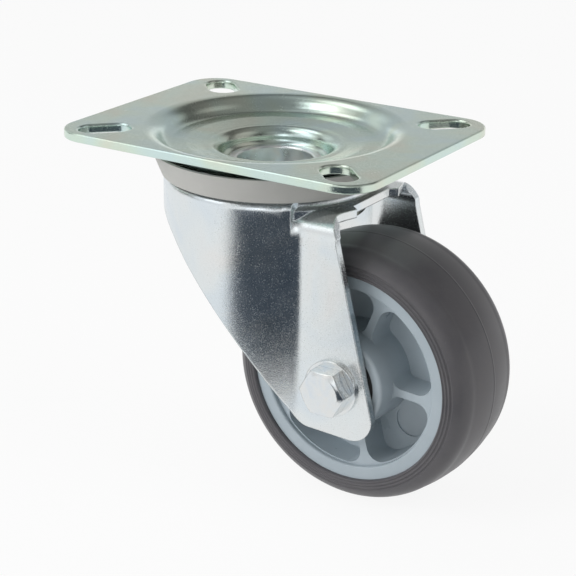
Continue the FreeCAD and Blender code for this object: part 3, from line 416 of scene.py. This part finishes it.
def pale_rays(tree):
    """1 for camera, glossy and transmission rays, else 0, so mirrors show the same background."""
    path = tree.nodes.new("ShaderNodeLightPath")
    seen = path.outputs["Is Camera Ray"]
    for name in ("Is Glossy Ray", "Is Transmission Ray"):
        both = tree.nodes.new("ShaderNodeMath")
        both.operation = "MAXIMUM"
        tree.links.new(seen, both.inputs[0])
        tree.links.new(path.outputs[name], both.inputs[1])
        seen = both.outputs[0]
    return seen


def make_world():
    """Soft lights in a dim room above a white backdrop, the same in mirrors and before the camera."""
    world = bpy.data.worlds.new("studio")
    bpy.context.scene.world = world
    world.use_nodes = True
    tree = world.node_tree
    tree.nodes.clear()
    place = tree.nodes.new("ShaderNodeTexCoord").outputs["Generated"]
    total = None
    panel = [(azimuth, PANEL_ELEVATION, PANEL_LEVEL, *PANEL_FADE) for azimuth in PANEL_AZIMUTHS]
    for operation, group in (("MAXIMUM", panel), ("ADD", STUDIO_LIGHTS.values())):
        for azimuth, elevation, level, *fade in group:
            light = soft_light(tree, place, room_direction(azimuth, elevation), level, fade)
            if total is not None:
                both = tree.nodes.new("ShaderNodeMath")
                both.operation = operation
                tree.links.new(total, both.inputs[0])
                tree.links.new(light, both.inputs[1])
                light = both.outputs[0]
            total = light
    room = tree.nodes.new("ShaderNodeBackground")
    tree.links.new(total, room.inputs["Color"])
    white = tree.nodes.new("ShaderNodeBackground")
    mix = tree.nodes.new("ShaderNodeMixShader")
    white.inputs["Color"].default_value = (1, 1, 1, 1)
    shown = tree.nodes.new("ShaderNodeMath")
    shown.operation = "MULTIPLY"
    tree.links.new(pale_rays(tree), shown.inputs[0])
    tree.links.new(backdrop_part(tree, place), shown.inputs[1])
    tree.links.new(shown.outputs[0], mix.inputs[0])
    tree.links.new(room.outputs[0], mix.inputs[1])
    tree.links.new(white.outputs[0], mix.inputs[2])
    out = tree.nodes.new("ShaderNodeOutputWorld")
    tree.links.new(mix.outputs[0], out.inputs[0])


def backdrop_part(tree, place):
    """1 where the backdrop stands, up to its top edge, and 0 above it."""
    split = tree.nodes.new("ShaderNodeSeparateXYZ")
    tree.links.new(place, split.inputs[0])
    span = tree.nodes.new("ShaderNodeMapRange")
    span.interpolation_type = "SMOOTHSTEP"
    tree.links.new(split.outputs["Z"], span.inputs["Value"])
    span.inputs["From Min"].default_value = math.sin(math.radians(BACKDROP_FADE[0]))
    span.inputs["From Max"].default_value = math.sin(math.radians(BACKDROP_FADE[1]))
    span.inputs["To Min"].default_value = 1.0
    span.inputs["To Max"].default_value = 0.0
    return span.outputs["Result"]


def towards_camera():
    """Level direction from the castor to the camera."""
    back = camera_axes()[2]
    return Vector((back.x, back.y, 0)).normalized()


def room_direction(azimuth, elevation):
    """Direction in the room, counted from the camera's side to its right."""
    ahead = towards_camera()
    side = Vector((0, 0, 1)).cross(ahead)
    a, e = math.radians(azimuth), math.radians(elevation)
    return (math.cos(a) * ahead + math.sin(a) * side) * math.cos(e) + Vector((0, 0, math.sin(e)))


def soft_light(tree, place, direction, level, fade):
    """A round glow in one direction of the room."""
    dot = tree.nodes.new("ShaderNodeVectorMath")
    dot.operation = "DOT_PRODUCT"
    tree.links.new(place, dot.inputs[0])
    dot.inputs[1].default_value = direction
    span = tree.nodes.new("ShaderNodeMapRange")
    span.interpolation_type = "SMOOTHSTEP"
    tree.links.new(dot.outputs["Value"], span.inputs["Value"])
    span.inputs["From Min"].default_value = math.cos(math.radians(fade[1]))
    span.inputs["From Max"].default_value = math.cos(math.radians(fade[0]))
    span.inputs["To Max"].default_value = level
    return span.outputs["Result"]


def make_floor():
    """Pale floor that keeps the castor's shadow."""
    mesh = bpy.data.meshes.new("floor")
    form = bmesh.new()
    bmesh.ops.create_circle(form, cap_ends=True, segments=96, radius=FLOOR_RADIUS)
    form.to_mesh(mesh)
    form.free()
    item = bpy.data.objects.new("floor", mesh)
    item.location.z = FLOOR_HEIGHT
    bpy.context.scene.collection.objects.link(item)
    s = Surface("pale_floor", roughness=0.9)
    s.shader.inputs["Base Color"].default_value = (*FLOOR_COLOUR, 1.0)
    tree = s.tree
    glow = s.add("ShaderNodeEmission")
    pale = s.add("ShaderNodeMixShader")
    s.connect(s.arithmetic("MULTIPLY", pale_rays(tree), FLOOR_WHITENESS), pale.inputs[0])
    s.connect(s.shader.outputs[0], pale.inputs[1])
    s.connect(glow.outputs[0], pale.inputs[2])
    s.connect(pale.outputs[0], tree.nodes["Material Output"].inputs["Surface"])
    mesh.materials.append(s.material)


def make_card():
    """A black card before the castor, for dark reflections in the bright metal and nothing else."""
    ahead = towards_camera()
    side = Vector((0, 0, 1)).cross(ahead)
    corners = []
    for far, half in ((CARD_START, CARD_NEAR_HALF), (CARD_END, CARD_FAR_HALF)):
        corners.append([far * ahead - half * side, far * ahead + half * side])
    ring = corners[0] + corners[1][::-1]
    mesh = bpy.data.meshes.new("black_card")
    mesh.from_pydata(ring, [], [(0, 1, 2, 3)])
    item = bpy.data.objects.new("black_card", mesh)
    item.location.z = FLOOR_HEIGHT + CARD_LIFT
    item.visible_camera = False
    item.visible_diffuse = False
    item.visible_shadow = False
    bpy.context.scene.collection.objects.link(item)
    s = Surface("black_card", roughness=0.9)
    s.shader.inputs["Base Color"].default_value = (*CARD_COLOUR, 1.0)
    mesh.materials.append(s.material)


make_tyre()
dress_solids()
make_world()
make_floor()
make_card()
for lamp, (place, size, power) in LAMPS.items():
    make_lamp(lamp, place, size, power)
make_camera()
bpy.context.scene.view_settings.view_transform = "Standard"
